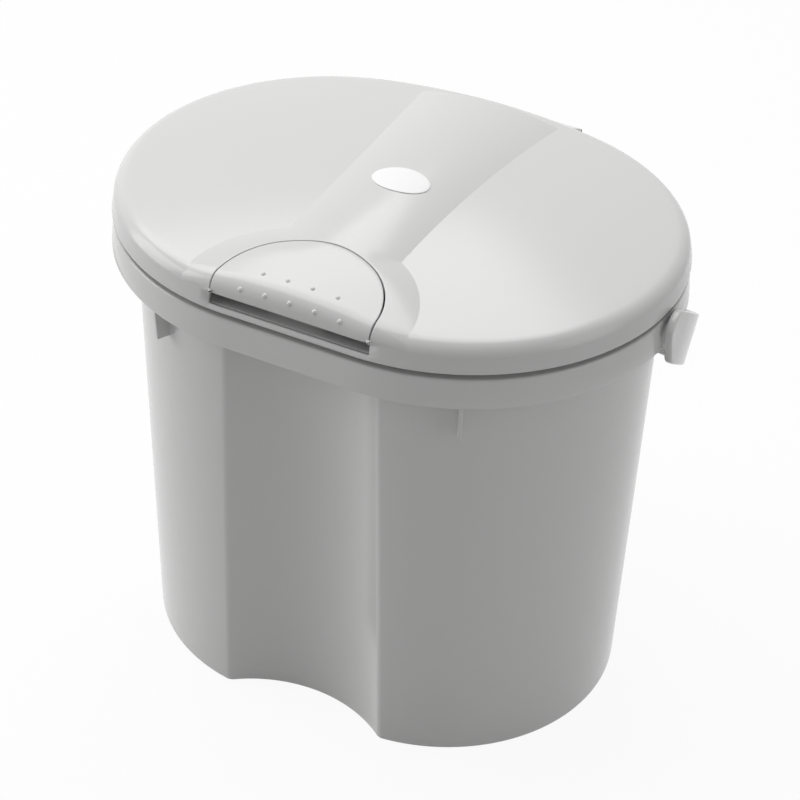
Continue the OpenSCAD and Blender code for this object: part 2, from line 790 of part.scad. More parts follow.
// Blank label that follows the spine's arch
module label() {
    lift = seat_gap / 2;
    n = 32;
    rings = [for (k = [[0.5, 0], [1, 0], [1, 1], [0.5, 1]])
        [for (i = [0 : n - 1])
            let (x = k[0] * label_l / 2 * cos(i * 360 / n),
                 y = k[0] * label_w / 2 * sin(i * 360 / n))
            [x, y, spine_z(x, y) + lift + k[1] * label_t]]];
    color("white")
    loft(rings, [0, 0, spine_z(0, 0) + lift], [0, 0, spine_z(0, 0) + lift + label_t]);
}

// ---- Button and latch ------------------------------------------------------

// Rounding of the button's front edge, smaller towards its corners, where its top is lower
function button_edge(x) = min(button_round, spine_z(x, -face_r) - lip_z - button_t / 2);

// Solid under the button's top, shrunk by t on every side but its underside
module button_block(t, low) {
    xs = across(button_r);
    y0 = button_round - face_r;
    y1 = button_y + button_r + button_gap;
    intersection() {
        ridge([for (e = concat(
                roll_steps(button_round - t),
                [for (i = [1 : 6]) (y1 - y0) * i / 6 + button_round - t]))
            section(
                [for (x = xs) let (y = behind(x, e + t))
                    [x, y, spine_z(x, y) - t - roll(e, button_edge(x) - t)]],
                [for (x = xs) [x, behind(x, e + t), low]])]);
        button_space(button_r - t, low - 1, rim_z * 2);
    }
}

module grip_dots() {
    for (row = [0, 1])
        for (i = [0 : 4 - row]) {
            x = (i - (4 - row) / 2) * dot_pitch;
            e = row == 0 ? button_round / 6 : button_round * 1.4;
            y = behind(x, e);
            translate([x, y, spine_z(x, y) - roll(e, button_edge(x)) - dot_r * 0.4])
                sphere(r = dot_r, $fn = 16);
        }
}

spring_seat = spine_z(0, spring_y) - button_t - 1;
tab_end = button_r + button_gap + tab_reach;
tab_l = tab_end - button_r + button_t / 2;
tab_mid = tab_end - tab_l / 2;
tab_top = spine_z(tab_end, button_y) - lid_t - seat_gap;
hook_top = lip_z + 8;

module release_button() {
    socket_w = hook_w + 2 * seat_gap;
    socket_t = hook_t + 2 * seat_gap;
    color(grey)
    difference() {
        union() {
            difference() {
                button_block(0, lip_z);
                button_block(button_t, lip_z - 5);
            }
            grip_dots();
            for (x = [-lug_out, lug_out - ear_t])
                pin_plate(x, lug_r, spine_z(lug_out, pin_y) - button_t / 2 - pin_z);
            // Seat of the return spring
            translate([0, spring_y, spring_seat])
                cylinder(h = button_t, r = spring_r + 1, $fn = 32);
            // Tabs that stop the raised button under the lid
            for (side = [-1, 1])
                translate([side * tab_mid - tab_l / 2, button_y + tab_w / 2, tab_top - tab_t])
                    cube([tab_l, tab_w, tab_t]);
            // Socket for the hook
            translate([-socket_w / 2 - 1.5, hook_y - seat_gap - 1.5, lip_z + 2])
                cube([socket_w + 3, socket_t + 3, spine_z(socket_w / 2, hook_y) - button_t / 2 - lip_z - 2]);
        }
        pin_bore();
        translate([-socket_w / 2, hook_y - seat_gap, lip_z])
            cube([socket_w, socket_t, hook_top + seat_gap - lip_z]);
    }
}

// Flat arm with a nose that reaches forwards under the rim
module latch_hook() {
    nose_z = rim_z - wall - seat_gap;
    color(grey)
    translate([-hook_w / 2, 0, 0])
        rotate([90, 0, 90])
            linear_extrude(hook_w)
                polygon([
                    [hook_y, hook_top],
                    [hook_y, nose_z],
                    [window_front - hook_bite, nose_z],
                    [window_front - hook_bite, nose_z - 1],
                    [hook_y, nose_z - hook_nose],
                    [hook_y + hook_t, nose_z - hook_nose],
                    [hook_y + hook_t, hook_top],
                ]);
}

module button_pin() {
    color("silver")
    translate([-ear_in - ear_t, pin_y, pin_z])
        rotate([0, 90, 0])
            cylinder(h = 2 * (ear_in + ear_t), r = button_pin_r, $fn = 32);
}

// Coil spring between the liner and the button
module return_spring() {
    z0 = liner_z + liner_t + spring_wire / 2 + eps;
    z1 = spring_seat - spring_wire / 2 - eps;
    steps = 14;
    sides = 6;
    r_mid = spring_r - spring_wire / 2;
    last = spring_turns * steps;
    rings = [for (i = [0 : last])
        let (a = i * 360 / steps,
             z = z0 + (z1 - z0) * i / last)
        [for (j = [0 : sides - 1])
            let (b = -j * 360 / sides,
                 r = r_mid + spring_wire / 2 * cos(b))
            [r * cos(a), spring_y + r * sin(a), z + spring_wire / 2 * sin(b)]]];
    color("silver")
    loft(rings, [r_mid, spring_y, z0], [r_mid, spring_y, z1]);
}

module hinge_pin() {
    color("silver")
    translate([seat_gap - knuckle_span, hinge_y, hinge_z])
        rotate([0, 90, 0])
            cylinder(h = 2 * (knuckle_span - seat_gap), r = hinge_pin_r, $fn = 48);
}

// ---- Handle -----------------------------------------------------------------

// Section of the band, seen along the hoop
module band_section() {
    c = band_t / 4;
    h = band_w / 2;
    translate([hoop_r, 0])
        polygon([
            [c, -h], [band_t - c, -h], [band_t, c - h], [band_t, h - c],
            [band_t - c, h], [c, h], [0, h - c], [0, c - h],
        ]);
}

// Straight end of the band, rounded above its tip and cut back below it
module band_tail(side) {
    h = band_w / 2;
    translate([side > 0 ? hoop_r : -hoop_r - band_t, 0, 0])
        rotate([90, 0, 90])
            linear_extrude(band_t)
                polygon(concat(
                    [[arm + eps, h]],
                    [for (a = [90 : -15 : 0])
                        [tail_round * (1 - cos(a)) - tail, tip_up + (h - tip_up) * sin(a)]],
                    [[-tail, 0], [tail * 0.1, -0.87 * h], [arm, -h], [arm + eps, -h]]));
}

// Peg with a snap head that catches behind the rim's skirt
module handle_peg(side) {
    stem = socket_x - skirt_in + 2 * seat_gap;
    translate([side * socket_x, 0, 0])
        rotate([0, -side * 90, 0]) {
            translate([0, 0, (socket_t - band_t) / 2])
                cylinder(h = (band_t - socket_t) / 2 + stem + eps, r = peg_r, $fn = 48);
            translate([0, 0, stem])
                cylinder(h = peg_r * 0.7, r1 = peg_r + snap, r2 = peg_r - snap, $fn = 48);
        }
}

// Curve of the band from one angle to another
module band_curve(from, to) {
    translate([0, arm, 0])
        rotate([0, 0, from])
            rotate_extrude(angle = to - from, $fn = 120)
                band_section();
}

module carry_handle() {
    color(grey)
    translate([0, -pivot_fwd, pivot_z])
        rotate([-stow_angle, 0, 0])
            band_curve(end_turn, 180 - end_turn);
}

module handle_ends() {
    color(grey)
    for (side = [-1, 1]) {
        difference() {
            translate([0, -pivot_fwd, pivot_z])
                rotate([-stow_angle, 0, 0]) {
                    band_curve(side > 0 ? 0 : 180 - end_turn, side > 0 ? end_turn : 180);
                    band_tail(side);
                }
            // Socket that takes the boss
            translate([side * (hoop_r - wall), -pivot_fwd, pivot_z])
                rotate([0, side * 90, 0])
                    cylinder(h = socket_t + wall, r = boss_r + 2 * seat_gap, $fn = 64);
        }
        translate([0, -pivot_fwd, pivot_z])
            handle_peg(side);
        // Lug that meets the step of the boss
        pivot_sector(side, socket_x - stop_t, socket_x + (band_t - socket_t) / 2,
            stop_r + pin_clear, boss_r, 0.5 - stow_angle - stop_half,
            stop_half - stow_angle - 0.5);
    }
}

bucket();
bag_ring();
lid_shell();
lid_liner();
lid_seal();
label();
hinge_pin();
release_button();
latch_hook();
button_pin();
return_spring();
carry_handle();
handle_ends();
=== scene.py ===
"""Nappy bin: an oval bucket with a bag ring, a hinged lid with a press button and a swing handle.

Lengths in the shape functions are millimetres, in the part's own frame: +Z up, front towards -Y,
origin on the floor. Each mesh is turned to metres when it is made.
"""

import bmesh
import bpy
import numpy as np
from mathutils import Matrix, Vector


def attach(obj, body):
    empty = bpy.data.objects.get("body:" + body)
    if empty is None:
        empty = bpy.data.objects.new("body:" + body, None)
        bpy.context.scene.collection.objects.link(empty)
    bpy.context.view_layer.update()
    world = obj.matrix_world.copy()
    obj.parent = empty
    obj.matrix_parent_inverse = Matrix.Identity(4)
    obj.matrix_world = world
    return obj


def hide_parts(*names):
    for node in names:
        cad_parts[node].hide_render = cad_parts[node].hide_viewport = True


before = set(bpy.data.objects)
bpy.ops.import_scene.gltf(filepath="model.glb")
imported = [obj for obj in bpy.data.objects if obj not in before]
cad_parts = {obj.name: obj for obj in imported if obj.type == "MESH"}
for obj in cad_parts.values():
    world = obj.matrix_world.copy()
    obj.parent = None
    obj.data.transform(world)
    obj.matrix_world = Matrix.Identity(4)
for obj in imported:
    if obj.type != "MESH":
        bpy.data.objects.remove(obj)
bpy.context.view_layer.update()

# ---- Sizes, as in the part's source ----------------------------------------------------------

FLAT_HALF, END_R, BACK_R = 37.0, 123.0, 280.0
RIM_Z, SKIRT_H, SKIRT_LEAN, WALL, FLOOR_T = 273.0, 17.0, 1.2, 2.4, 3.0
TOP_INSET, BASE_INSET = 12.0, 19.7
HOLLOW_R, HOLLOW_TOP, HOLLOW_BASE, HOLLOW_EDGE = 80.0, 14.0, 17.5, 6.0
LID_GAP, LID_SIDE, LID_ROUND, LID_T, LID_OVER, LID_LEAN = 3.7, 15.0, 8.0, 2.2, 0.6, 1.2
LID_CROWN, LID_TILT = 6.0, 1.5
WAIST, HINGE_HALF, SPINE_RISE, FIELD_R, SPINE_DIP = 33.0, 42.7, 5.0, 64.0, 1.2
HOOD_START, HOOD_REACH, HOOD_FALL, HOOD_LIP, HOOD_T = 111.0, 19.6, 0.6, 5.0, 2.6
BUTTON_R, BUTTON_BACK, BUTTON_GAP, BUTTON_ROUND, BUTTON_T = 45.6, 5.5, 0.9, 9.0, 2.0
SLOT_H, SILL_H, DOT_R, DOT_PITCH = 7.0, 3.0, 1.5, 14.3
KNUCKLE_R, HINGE_BACK, HINGE_DROP, KNUCKLE_GAP = 5.5, 10.0, 7.5, 0.5
HOOP_GAP, BAND_T, BAND_W, ARM, TAIL, TAIL_ROUND, TIP_UP = 0.6, 4.4, 28.6, 6.0, 12.3, 8.8, 2.5
PIVOT_FWD, PIVOT_DROP, PEG_R, SNAP, SOCKET_T, STOP_T, STOW = 5.5, 11.5, 3.2, 0.8, 2.0, 1.8, 34.6
HOOK_W, FREE_GAP, SEAT_GAP, RING_T, RING_FLANGE, RING_DEPTH = 30.0, 0.8, 0.25, 1.8, 6.0, 13.0
LINER_T, LINER_RISE, PLUG_DEPTH, SEAL_W = 2.0, 1.3, 1.5, 3.6
LABEL_L, LABEL_W, LABEL_T = 33.0, 24.0, 0.4

MEET = np.degrees(np.arccos(FLAT_HALF / (BACK_R - END_R)))
BACK_C = -(BACK_R - END_R) * np.sin(np.radians(MEET))
RIM_BACK = BACK_R + BACK_C
RIM_SIDE = FLAT_HALF + END_R
LID_Z = RIM_Z + LID_GAP
LIP_Z = LID_Z + SILL_H + SLOT_H
BUTTON_Y = BUTTON_BACK - END_R
FACE_R = END_R + LID_OVER - LID_LEAN
SPINE_JOIN = BUTTON_Y + np.sqrt(FIELD_R ** 2 - WAIST ** 2)
HOOD_Y, HOOD_Z = RIM_BACK + HOOD_REACH, RIM_Z - HOOD_FALL
HINGE_Y, HINGE_Z = RIM_BACK + HINGE_BACK, RIM_Z - HINGE_DROP
PIVOT_Z = RIM_Z - PIVOT_DROP
HOOP_R = RIM_SIDE + SKIRT_LEAN + HOOP_GAP
STOP_R, BOSS_R = PEG_R + WALL / 2 + 0.5, PEG_R + WALL / 2 + 3.5


# ---- Camera, at the angle and distance of the view -------------------------------------------

def aim_camera(azimuth, elevation, roll, distance, right, up, lens):
    """Camera at that distance from the middle of the rim, turned by roll about its own axis, then
    slid right and up in its own plane."""
    a, e, r = np.radians([azimuth, elevation, roll])
    back = np.array([np.sin(a) * np.cos(e), -np.cos(a) * np.cos(e), np.sin(e)])
    side = np.array([np.cos(a), np.sin(a), 0.0])
    top = np.cross(back, side)
    x = np.cos(r) * side + np.sin(r) * top
    y = -np.sin(r) * side + np.cos(r) * top
    place = np.array([0, 0, RIM_Z]) + distance * back - right * x - up * y
    data = bpy.data.cameras.new("camera")
    data.lens, data.sensor_width = lens, 36.0
    data.clip_start, data.clip_end = 0.05, 20.0
    camera = bpy.data.objects.new("camera", data)
    camera.matrix_world = Matrix([[x[i], y[i], back[i], place[i] / 1000] for i in range(3)]
                                 + [[0, 0, 0, 1]])
    bpy.context.scene.collection.objects.link(camera)
    bpy.context.scene.camera = camera


aim_camera(26.2035, 36.5402, 2.1574, 1346.1, -0.361, 93.73, 111.87)


# ---- Outlines --------------------------------------------------------------------------------

WINDOW_HALF, WINDOW_FRONT, WINDOW_BACK = HOOK_W / 2 + FREE_GAP + 1, -113.0, -103.5
SLOT_EDGE = -90 + np.degrees(np.arcsin((BUTTON_R + BUTTON_GAP - FLAT_HALF) / FACE_R))


def arc(centre, radius, angles):
    """Points of a circle about centre, at the given angles in degrees."""
    t = np.radians(angles)
    return np.asarray(centre) + np.multiply.outer(radius, np.stack([np.cos(t), np.sin(t)], 1))


def steps(*stops_and_counts):
    """Even steps from stop to stop, without the last. They are given as stop, count, stop, ..."""
    stops, counts = stops_and_counts[::2], stops_and_counts[1::2]
    return np.concatenate([np.linspace(a, b, n, endpoint=False)
                           for a, b, n in zip(stops[:-1], stops[1:], counts)])


def mirrored(half):
    """Closed outline from its right half, which runs from the front to the back."""
    return np.concatenate([half, half[-2:0:-1] * [-1, 1]])


def oval(inset):
    """The rim's outline at an inset: a straight run, an end arc about (FLAT_HALF, 0) and the long
    back arc about (0, BACK_C), then the same mirrored."""
    x = steps(0, 18, WINDOW_HALF, 34, FLAT_HALF)
    return mirrored(np.concatenate([
        np.stack([x, np.full(len(x), inset - END_R)], 1),
        arc((FLAT_HALF, 0), END_R - inset, steps(-90, 6, SLOT_EDGE, 54, MEET)),
        arc((0, BACK_C), BACK_R - inset, steps(MEET, 30, 90)),
        [[0, BACK_C + BACK_R - inset]]]))


def hollowed(inset, depth, thick=0.0):
    """The bucket wall's outline: a hollow arc of the given depth at the front, a rounded edge that
    touches it and the end arc, then the oval. thick moves the whole outline inwards."""
    d, hr, er = inset + thick, HOLLOW_R + thick, max(HOLLOW_EDGE - thick, 1.0)
    e, q = np.array([FLAT_HALF, 0.0]), np.array([0.0, depth - END_R + inset - HOLLOW_R])
    ra, rb, l = END_R - d - er, hr + er, np.linalg.norm(q - e)
    a = (ra * ra - rb * rb + l * l) / (2 * l)
    u = (q - e) / l
    c = e + a * u - np.sqrt(ra * ra - a * a) * np.array([u[1], -u[0]])
    out = c - e
    if c[0] < FLAT_HALF:
        c = np.array([np.sqrt(rb * rb - (ra + q[1]) ** 2), -ra])
        out = np.array([0.0, -1.0])
    a_q, a_out, a_h = (np.degrees(np.arctan2(v[1], v[0])) for v in (q - c, out, c - q))
    window = np.degrees(np.arccos(WINDOW_HALF / hr))
    return mirrored(np.concatenate([
        arc(q, hr, steps(90, 18, window, 22, a_h)),
        arc(c, er, steps(a_q, 12, a_out)),
        arc((FLAT_HALF, 0), END_R - d, steps(max(a_out, -90), 60, MEET)),
        arc((0, BACK_C), BACK_R - d, steps(MEET, 30, 90)),
        [[0, BACK_C + BACK_R - d]]]))


def at_height(outline, z):
    """Ring of 3D points over an outline, at one height or a height for each point."""
    return np.column_stack([outline, np.broadcast_to(z, len(outline))])


def wall_inset(z):
    """Inset of the bucket wall at height z: it leans in evenly towards the floor."""
    return BASE_INSET + (TOP_INSET - BASE_INSET) * z / RIM_Z


def wall_ring(z, thick=0.0, at=None, out=0.0):
    """Ring on the bucket wall at height z, shaped as the wall is at height at."""
    h = z if at is None else at
    depth = HOLLOW_BASE + (HOLLOW_TOP - HOLLOW_BASE) * h / RIM_Z
    return at_height(hollowed(wall_inset(h) + out, depth, thick), z)


# ---- Meshes ----------------------------------------------------------------------------------

def grid_faces(rows, columns, wrap, first=0):
    """Quads of a grid whose vertices run row by row. wrap joins the last column to the first."""
    i = np.arange(rows - 1)[:, None] * columns
    j = np.arange(columns if wrap else columns - 1)[None, :]
    k = (j + 1) % columns
    return (first + np.stack([i + j, i + k, i + columns + k, i + columns + j], -1)).reshape(-1, 4)


class Shell:
    """Collects grids, fans and flat outlines, and makes one mesh of them."""

    def __init__(self):
        self.points, self.faces, self.count = [], [], 0

    def add(self, points, faces):
        self.points.append(np.asarray(points, float).reshape(-1, 3))
        self.faces += [tuple(int(v) + self.count for v in f) for f in faces]
        self.count += len(self.points[-1])
        return self

    def grid(self, rows, wrap=False, flip=False, keep=None, first=None, last=None):
        """Surface through rows of points. keep is a test on the faces' centres; first and last are
        points that close the first and last row as a fan."""
        rows = np.asarray(rows, float)
        m, n = rows.shape[:2]
        flat = rows.reshape(-1, 3)
        faces = grid_faces(m, n, wrap)
        if keep is not None:
            faces = faces[keep(flat[faces].mean(1))]
        faces = faces.tolist()
        extra = []
        for pole, row in ((first, 0), (last, m - 1)):
            if pole is not None:
                j = np.arange(n if wrap else n - 1)
                a, b, p = row * n + j, row * n + (j + 1) % n, np.full(len(j), m * n + len(extra))
                faces += np.stack([p, b, a] if row == 0 else [p, a, b], 1).tolist()
                extra.append(pole)
        if flip:
            faces = [f[::-1] for f in faces]
        return self.add(np.concatenate([flat] + [np.reshape(e, (1, 3)) for e in extra]), faces)

    def prism(self, outline, place, depth):
        """Flat outline carried through depth. place turns (across, up, along) into a point."""
        outline = np.asarray(outline, float)
        n = len(outline)
        a, b = (place(outline[:, 0], outline[:, 1], np.full(n, t)) for t in depth)
        j = np.arange(n)
        sides = np.stack([j, (j + 1) % n, n + (j + 1) % n, n + j], 1)
        return self.add(np.concatenate([a, b]), [tuple(j[::-1]), tuple(n + j)] + sides.tolist())

    def piece(self, name, finish, body, nodes=(), slot="body_plastic", angle=32, outwards=False,
              bevel=None, wall=None, even=True):
        """Makes the mesh in metres, merges its doubles and gives it its finish and its body."""
        mesh = bpy.data.meshes.new(name)
        mesh.from_pydata((np.concatenate(self.points) / 1000).tolist(), [], self.faces)
        b = bmesh.new()
        b.from_mesh(mesh)
        bmesh.ops.remove_doubles(b, verts=b.verts, dist=2e-6)
        if outwards:
            bmesh.ops.recalc_face_normals(b, faces=b.faces)
        b.to_mesh(mesh)
        b.free()
        mesh.polygons.foreach_set("use_smooth", np.ones(len(mesh.polygons), bool))
        mesh.set_sharp_from_angle(angle=np.radians(angle))
        mesh.materials.append(finish)
        made = bpy.data.objects.new(name, mesh)
        bpy.context.scene.collection.objects.link(made)
        if wall:
            solid = made.modifiers.new("wall", "SOLIDIFY")
            solid.thickness, solid.offset = wall / 1000, -1
            solid.use_even_offset = even
        if bevel:
            soft = made.modifiers.new("edges", "BEVEL")
            soft.width, soft.segments, soft.limit_method = bevel / 1000, 3, "ANGLE"
            soft.angle_limit = np.radians(40)
        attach(made, body)
        if nodes:
            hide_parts(*nodes)


def side_view(across, up, along):
    """Places a drawing of the side view: its across is +Y, its up is +Z, and along is +X."""
    return np.stack([along, across, up], 1)


# ---- Finishes --------------------------------------------------------------------------------

class Socket:
    """A shader value that Python's operators work on: each adds one Math node."""

    def __init__(self, tree, out):
        self.tree, self.out = tree, out

    def _math(self, operation, *values):
        return self.tree.node("ShaderNodeMath", {"operation": operation}, dict(enumerate(values)))

    def __add__(self, o): return self._math("ADD", self, o)
    def __radd__(self, o): return self._math("ADD", o, self)
    def __sub__(self, o): return self._math("SUBTRACT", self, o)
    def __rsub__(self, o): return self._math("SUBTRACT", o, self)
    def __mul__(self, o): return self._math("MULTIPLY", self, o)
    def __rmul__(self, o): return self._math("MULTIPLY", o, self)


class Finish:
    """A node tree of a material, or of the world, with one method that makes any node."""

    def __init__(self, name, kind=bpy.data.materials):
        self.material = kind.new(name)
        self.material.use_nodes = True
        self.nodes = self.material.node_tree.nodes
        self.nodes.clear()

    def node(self, kind, settings=None, inputs=None, output=0):
        made = self.nodes.new(kind)
        for key, value in (settings or {}).items():
            if key == "stops":
                ramp = made.color_ramp
                for i, (at, shade) in enumerate(value):
                    stop = ramp.elements[i] if i < 2 else ramp.elements.new(at)
                    stop.position, stop.color = at, (*shade, 1)
            else:
                setattr(made, key, value)
        for key, value in (inputs or {}).items():
            if isinstance(value, Socket):
                self.material.node_tree.links.new(value.out, made.inputs[key])
            else:
                made.inputs[key].default_value = value
        return Socket(self, made.outputs[output]) if len(made.outputs) else made

    def seen(self):
        """1 for camera, glossy and transmission rays, and 0 for the light that falls on things."""
        camera = self.node("ShaderNodeLightPath")
        glossy, through = (Socket(self, self.nodes[-1].outputs[k])
                           for k in ("Is Glossy Ray", "Is Transmission Ray"))
        return self.node("ShaderNodeMath", {"operation": "ADD", "use_clamp": True},
                         {0: camera + glossy, 1: through})

    def finish(self, **inputs):
        """Principled shader with these inputs, as the surface."""
        names = {k.replace("_", " "): v for k, v in inputs.items()}
        shader = self.node("ShaderNodeBsdfPrincipled", None, names)
        self.node("ShaderNodeOutputMaterial", None, {"Surface": shader})
        return self.material


def moulded_plastic(name, shade, roughness, grain=1.0):
    """Moulded polypropylene: a very faint flow in its shade and gloss, and a fine ripple."""
    f = Finish(name)
    here = f.node("ShaderNodeTexCoord", output=3)
    flow = f.node("ShaderNodeTexNoise", None, {"Vector": here, "Scale": 9.0, "Detail": 2.0})
    fine = f.node("ShaderNodeTexNoise", None, {"Vector": here, "Scale": 650.0, "Detail": 2.0})
    darker, lighter = ((*(c * k for c in shade), 1) for k in (0.994, 1.006))
    colour = f.node("ShaderNodeMix", {"data_type": "RGBA"}, {0: flow, 6: darker, 7: lighter},
                    output=2)
    bump = f.node("ShaderNodeBump", None,
                  {"Strength": 0.05 * grain, "Distance": 0.0003, "Height": fine})
    return f.finish(Base_Color=colour, Roughness=roughness - 0.01 + flow * 0.02, Normal=bump,
                    Specular_IOR_Level=0.5)


def plain_metal(name, shade, roughness):
    """Drawn steel wire: fine scratches in its roughness."""
    f = Finish(name)
    here = f.node("ShaderNodeTexCoord", output=3)
    scratch = f.node("ShaderNodeTexNoise", None, {"Vector": here, "Scale": 700.0, "Detail": 3.0})
    return f.finish(Base_Color=(*shade, 1), Metallic=1.0, Roughness=roughness + scratch * 0.15)


body_plastic = moulded_plastic("grey_plastic", (0.685, 0.685, 0.68), 0.18)
seal_rubber = moulded_plastic("seal_rubber", (0.10, 0.10, 0.105), 0.6)
label_film = moulded_plastic("label_film", (0.93, 0.93, 0.93), 0.45, 0.5)
bright_steel = plain_metal("bright_steel", (0.72, 0.72, 0.74), 0.2)


# ---- Bucket ----------------------------------------------------------------------------------

def rim_plate(outer, inner, front, back):
    """Rows from ring outer to ring inner, with two rows on the latch window's front and back."""
    rows = [outer]
    for y in (front, back):
        share = (y - outer[0, 1]) / (inner[0, 1] - outer[0, 1])
        row = outer + (inner - outer) * share
        near = (np.abs(outer[:, 0]) <= WINDOW_HALF + 1e-6) & (outer[:, 1] < 0)
        row[near, 0], row[near, 1] = outer[near, 0], y
        rows.append(row)
    return rows + [inner]


def bucket_rows():
    """Rings from the middle of the underside up the outside, over the rim's skirt and down the
    inside: every corner is a quarter turn."""
    under = RIM_Z - WALL
    turn = np.radians(np.linspace(0, 90, 6))
    base = 1.6
    rows = [wall_ring(0, out=base + 1, at=0)]
    rows += [wall_ring(base * (1 - np.cos(t)), at=0, out=base * (1 - np.sin(t))) for t in turn]
    rows += [wall_ring(z) for z in np.linspace(base * 2, under - 2, 9)]
    rows += [wall_ring(under - 2 + 2 * np.sin(t), at=under, out=-2 * (1 - np.cos(t))) for t in turn]
    last = wall_ring(under, out=-4)
    rows += rim_plate(last, at_height(oval(WALL + 1.0), under), WINDOW_BACK, WINDOW_FRONT)
    rows += [at_height(oval(WALL - 0.1), under - 1.2)]
    edge = 0.5
    rows += [at_height(oval(WALL - SKIRT_LEAN), RIM_Z - SKIRT_H + edge),
             at_height(oval(WALL - SKIRT_LEAN - edge), RIM_Z - SKIRT_H),
             at_height(oval(-SKIRT_LEAN + edge), RIM_Z - SKIRT_H),
             at_height(oval(-SKIRT_LEAN + edge * 0.3), RIM_Z - SKIRT_H + edge * 0.3),
             at_height(oval(-SKIRT_LEAN), RIM_Z - SKIRT_H + edge)]
    r = 1.5
    rows += [at_height(oval(-SKIRT_LEAN * 0.5), RIM_Z - SKIRT_H * 0.5),
             at_height(oval(0), RIM_Z - r)]
    rows += [at_height(oval(r * (1 - np.cos(t))), RIM_Z - r + r * np.sin(t)) for t in turn[1:]]
    inner = wall_ring(RIM_Z, WALL, out=-0.5)
    rows += rim_plate(rows.pop(), inner, WINDOW_FRONT, WINDOW_BACK)
    rows += [wall_ring(RIM_Z - 0.5, WALL, RIM_Z)]
    rows += [wall_ring(z, WALL) for z in np.linspace(RIM_Z - 5, FLOOR_T + 4, 7)]
    rows += [wall_ring(FLOOR_T + 3 * (1 - np.sin(t)), WALL, FLOOR_T, 3 * (1 - np.cos(t)))
             for t in turn[1:]]
    return rows


def latch_window(shell):
    """The four walls of the window that the hook passes through."""
    x, y0, y1, z0, z1 = WINDOW_HALF, WINDOW_FRONT, WINDOW_BACK, RIM_Z - WALL, RIM_Z
    loop = np.array([[-x, y0], [x, y0], [x, y1], [-x, y1], [-x, y0]])
    shell.grid([at_height(loop, z0), at_height(loop, z1)], flip=True)


def inside_window(c):
    """True for faces that the window cuts away."""
    return ~((np.abs(c[:, 0]) < WINDOW_HALF) & (c[:, 1] > WINDOW_FRONT) & (c[:, 1] < WINDOW_BACK)
             & (c[:, 2] > RIM_Z - WALL - 0.1))


bucket = Shell().grid(bucket_rows(), wrap=True, keep=inside_window, first=(0, 0, 0),
                      last=(0, 0, FLOOR_T))
latch_window(bucket)
bucket.piece("bucket_wall", body_plastic, "base", ["bucket"])


LUG_TURN, LUG_H, BOSS_SIDES = 27, 25, 64


def lug_place(side, front):
    """Places a lug's drawing on an end arc: its across is the distance from the arc's centre."""
    turn = -90 + LUG_TURN if front else 90 - LUG_TURN - (90 - MEET) * 0.2
    a = np.radians(turn)
    def place(across, up, along):
        x = FLAT_HALF + across * np.cos(a) - along * np.sin(a)
        y = across * np.sin(a) + along * np.cos(a)
        return np.stack([side * x, y, up], 1)
    return place


lugs = Shell()
low = RIM_Z - SKIRT_H - LUG_H
r_low, r_top = END_R - wall_inset(low), END_R - WALL
for side in (-1, 1):
    for front in (True, False):
        lugs.prism([(r_low - 1.2, low), (r_low + 7.5, low), (r_top - 1.5, RIM_Z - SKIRT_H + 2),
                    (r_top - 1.5, RIM_Z - 1.2), (r_low - 0.4, RIM_Z - 1.2)],
                   lug_place(side, front), (-1, 1))
lugs.piece("stacking_lugs", body_plastic, "base", outwards=True, bevel=0.35)


def bosses():
    """Round bosses for the handle's pegs, with a bore and a track: profiles turned about the
    pivot's axis."""
    shell = Shell()
    t = np.radians(np.linspace(0, 360, BOSS_SIDES + 1)[:-1])
    start, face = RIM_SIDE - WALL / 2 + 0.9, HOOP_R + SOCKET_T - SEAT_GAP
    for side in (-1, 1):
        path = [(PEG_R + 0.1, start), (PEG_R + 0.1, face), (STOP_R, face), (STOP_R, face - STOP_T),
                (BOSS_R, face - STOP_T), (BOSS_R, start), (PEG_R + 0.1, start)]
        rows = [np.stack([np.full(BOSS_SIDES, side * x), r * np.cos(t) - PIVOT_FWD,
                          r * np.sin(t) + PIVOT_Z], 1) for r, x in path]
        shell.grid(rows, wrap=True)
    return shell


bosses().piece("handle_bosses", body_plastic, "base", outwards=True)

KNUCKLE_SPAN = HINGE_HALF - HOOD_T - SEAT_GAP
KNUCKLE_W = 2 * KNUCKLE_SPAN / 5


def knuckle_drawing(foot):
    """Circle of the knuckle joined to its foot or web, as one outline round the side view."""
    t = np.radians(foot["sweep"])
    circle = np.stack([HINGE_Y + KNUCKLE_R * np.cos(t), HINGE_Z + KNUCKLE_R * np.sin(t)], 1)
    return np.concatenate([circle, foot["corners"]])


front = BACK_C + np.sqrt(BACK_R ** 2 - KNUCKLE_SPAN ** 2) - WALL / 2
brackets = Shell()
foot = {"sweep": np.linspace(-88, 180, 40),
        "corners": [(front, HINGE_Z), (front, HINGE_Z - 9.7), (HINGE_Y - 0.75, HINGE_Z - 9.7),
                    (HINGE_Y - 0.05, HINGE_Z - 7.2)]}
for i in (-1, 0, 1):
    x = (2 * i - 0.5) * KNUCKLE_W + KNUCKLE_GAP / 2
    brackets.prism(knuckle_drawing(foot), side_view, (x, x + KNUCKLE_W - KNUCKLE_GAP))
brackets.piece("hinge_brackets", body_plastic, "base", outwards=True, bevel=0.3)


# ---- Bag ring, liner and seal ----------------------------------------------------------------

def ring_piece(name, profile, finish, body, nodes, slot="body_plastic"):
    """Closed band: a profile of (height, distance inside the wall's face, height of the shape)
    carried round the bucket wall's outline at the rim."""
    rows = [wall_ring(z, t, at) for z, t, at in profile]
    Shell().grid(rows + rows[:1], wrap=True).piece(name, finish, body, nodes, slot, outwards=True,
                                                   bevel=0.3)


